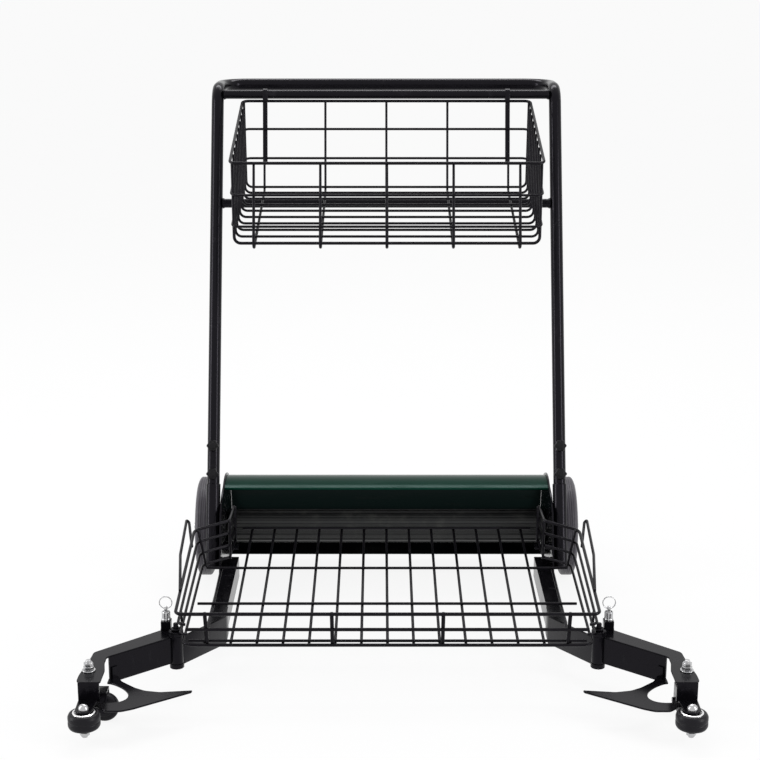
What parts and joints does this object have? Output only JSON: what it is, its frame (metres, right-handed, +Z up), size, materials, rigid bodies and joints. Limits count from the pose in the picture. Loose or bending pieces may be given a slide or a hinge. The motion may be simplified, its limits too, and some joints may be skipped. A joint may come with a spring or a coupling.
{
  "type": "tennis ball cart",
  "caption": "Push cart with a drum and hood that pick tennis balls up from the court, spread guide arms on casters and two wire baskets.",
  "frame": {"origin": "centre of the bounding box at floor level", "axes": "+Z up, -Y forwards (the way the cart is pushed), +X to the right as seen from the front"},
  "size_m": [0.921, 0.9908, 0.8692],
  "materials": {
    "black": "gloss black powder coat",
    "green": "dark green paint outside, black inside",
    "tyre": "dark grey rubber",
    "roller": "black rubber",
    "plastic": "moulded black",
    "steel": "bright zinc plated",
    "drum": "ribbed rubber sleeve"
  },
  "bodies": {
    "chassis": {"hood": "green", "side_plate_left": "black", "side_plate_right": "black", "side_rail_left": "black", "side_rail_right": "black", "corner_bracket_left": "black", "corner_bracket_right": "black", "hinge_pin_left": "steel", "hinge_pin_right": "steel", "lower_tube_left": "black", "lower_tube_right": "black", "axle_bush_left": "plastic", "axle_bush_right": "plastic"},
    "drum_axle": {"drum": "drum", "axle": "steel", "tyre_left": "tyre", "tyre_right": "tyre", "wheel_hub_left": "plastic", "wheel_hub_right": "plastic"},
    "handle": {"handle_tube": "black", "upper_cross_tube": "black", "lower_cross_tube": "black"},
    "knob_lower_left": {"knob_lower_left": "plastic"},
    "knob_upper_left": {"knob_upper_left": "plastic"},
    "knob_lower_right": {"knob_lower_right": "plastic"},
    "knob_upper_right": {"knob_upper_right": "plastic"},
    "upper_basket": {"upper_basket_front": "black", "upper_basket_rear": "black", "upper_basket_floor": "black", "upper_basket_side_left": "black", "upper_basket_side_right": "black"},
    "lower_basket": {"lower_basket_front": "black", "lower_basket_floor": "black", "lower_basket_side_left": "black", "lower_basket_side_right": "black", "lower_basket_corner_left": "black", "lower_basket_corner_right": "black", "carry_loop_left": "black", "carry_loop_right": "black"},
    "arm_left": {"arm_left": "black", "ball_guide_left": "black", "plunger_body_left": "steel", "kingpin_left": "steel", "roller_bolt_left": "steel"},
    "arm_right": {"arm_right": "black", "ball_guide_right": "black", "plunger_body_right": "steel", "kingpin_right": "steel", "roller_bolt_right": "steel"},
    "plunger_left": {"plunger_pin_left": "steel"},
    "plunger_right": {"plunger_pin_right": "steel"},
    "pull_ring_left": {"pull_ring_left": "steel"},
    "pull_ring_right": {"pull_ring_right": "steel"},
    "roller_left": {"roller_left": "roller"},
    "roller_right": {"roller_right": "roller"},
    "caster_left": {"caster_fork_left": "steel"},
    "caster_right": {"caster_fork_right": "steel"},
    "caster_wheel_left": {"caster_wheel_left": "roller"},
    "caster_wheel_right": {"caster_wheel_right": "roller"}
  },
  "joints": [
    {"name": "drum_spin", "type": "hinge", "parent": "chassis", "child": "drum_axle", "pos_m": [0, 0.192, 0.089], "axis": [1, 0, 0], "continuous": true},
    {"name": "handle_slide", "type": "slide", "parent": "chassis", "child": "handle", "axis": [0, 0.3637, 0.9315], "range_m": [0, 0.08]},
    {"name": "knob_lower_left_turn", "type": "hinge", "parent": "handle", "child": "knob_lower_left", "pos_m": [-0.305, 0.12646, 0.208], "axis": [0, -0.9315, 0.3637], "continuous": true},
    {"name": "knob_upper_left_turn", "type": "hinge", "parent": "handle", "child": "knob_upper_left", "pos_m": [-0.305, 0.14442, 0.254], "axis": [0, -0.9315, 0.3637], "continuous": true},
    {"name": "knob_lower_right_turn", "type": "hinge", "parent": "handle", "child": "knob_lower_right", "pos_m": [0.305, 0.12646, 0.208], "axis": [0, -0.9315, 0.3637], "continuous": true},
    {"name": "knob_upper_right_turn", "type": "hinge", "parent": "handle", "child": "knob_upper_right", "pos_m": [0.305, 0.14442, 0.254], "axis": [0, -0.9315, 0.3637], "continuous": true},
    {"name": "upper_basket_lift", "type": "slide", "parent": "handle", "child": "upper_basket", "axis": [0, 0, 1], "range_m": [0, 0.12]},
    {"name": "lower_basket_lift", "type": "slide", "parent": "chassis", "child": "lower_basket", "axis": [0, 0, 1], "range_m": [0, 0.12]},
    {"name": "arm_left_fold", "type": "hinge", "parent": "chassis", "child": "arm_left", "pos_m": [-0.327, -0.275, 0.056], "axis": [0, 0, 1], "range_deg": [0, 50]},
    {"name": "arm_right_fold", "type": "hinge", "parent": "chassis", "child": "arm_right", "pos_m": [0.327, -0.275, 0.056], "axis": [0, 0, -1], "range_deg": [0, 50]},
    {"name": "plunger_left_pull", "type": "slide", "parent": "arm_left", "child": "plunger_left", "axis": [0, 0, 1], "range_m": [0, 0.008], "stiffness_N_per_m": 600, "springref_m": -0.005},
    {"name": "plunger_right_pull", "type": "slide", "parent": "arm_right", "child": "plunger_right", "axis": [0, 0, 1], "range_m": [0, 0.008], "stiffness_N_per_m": 600, "springref_m": -0.005},
    {"name": "pull_ring_left_swing", "type": "hinge", "parent": "plunger_left", "child": "pull_ring_left", "pos_m": [-0.345, -0.249, 0.1125], "axis": [1, 0, 0], "range_deg": [-70, 70]},
    {"name": "pull_ring_right_swing", "type": "hinge", "parent": "plunger_right", "child": "pull_ring_right", "pos_m": [0.345, -0.249, 0.1125], "axis": [1, 0, 0], "range_deg": [-70, 70]},
    {"name": "roller_left_spin", "type": "hinge", "parent": "arm_left", "child": "roller_left", "pos_m": [-0.437, -0.472, 0.034], "axis": [0, 0, 1], "continuous": true},
    {"name": "roller_right_spin", "type": "hinge", "parent": "arm_right", "child": "roller_right", "pos_m": [0.437, -0.472, 0.034], "axis": [0, 0, 1], "continuous": true},
    {"name": "caster_left_swivel", "type": "hinge", "parent": "arm_left", "child": "caster_left", "pos_m": [-0.44, -0.403, 0.05], "axis": [0, 0, 1], "continuous": true},
    {"name": "caster_right_swivel", "type": "hinge", "parent": "arm_right", "child": "caster_right", "pos_m": [0.44, -0.403, 0.05], "axis": [0, 0, 1], "continuous": true},
    {"name": "caster_wheel_left_spin", "type": "hinge", "parent": "caster_left", "child": "caster_wheel_left", "pos_m": [-0.419, -0.403, 0.0215], "axis": [0, 1, 0], "continuous": true},
    {"name": "caster_wheel_right_spin", "type": "hinge", "parent": "caster_right", "child": "caster_wheel_right", "pos_m": [0.44, -0.382, 0.0215], "axis": [1, 0, 0], "continuous": true}
  ]
}
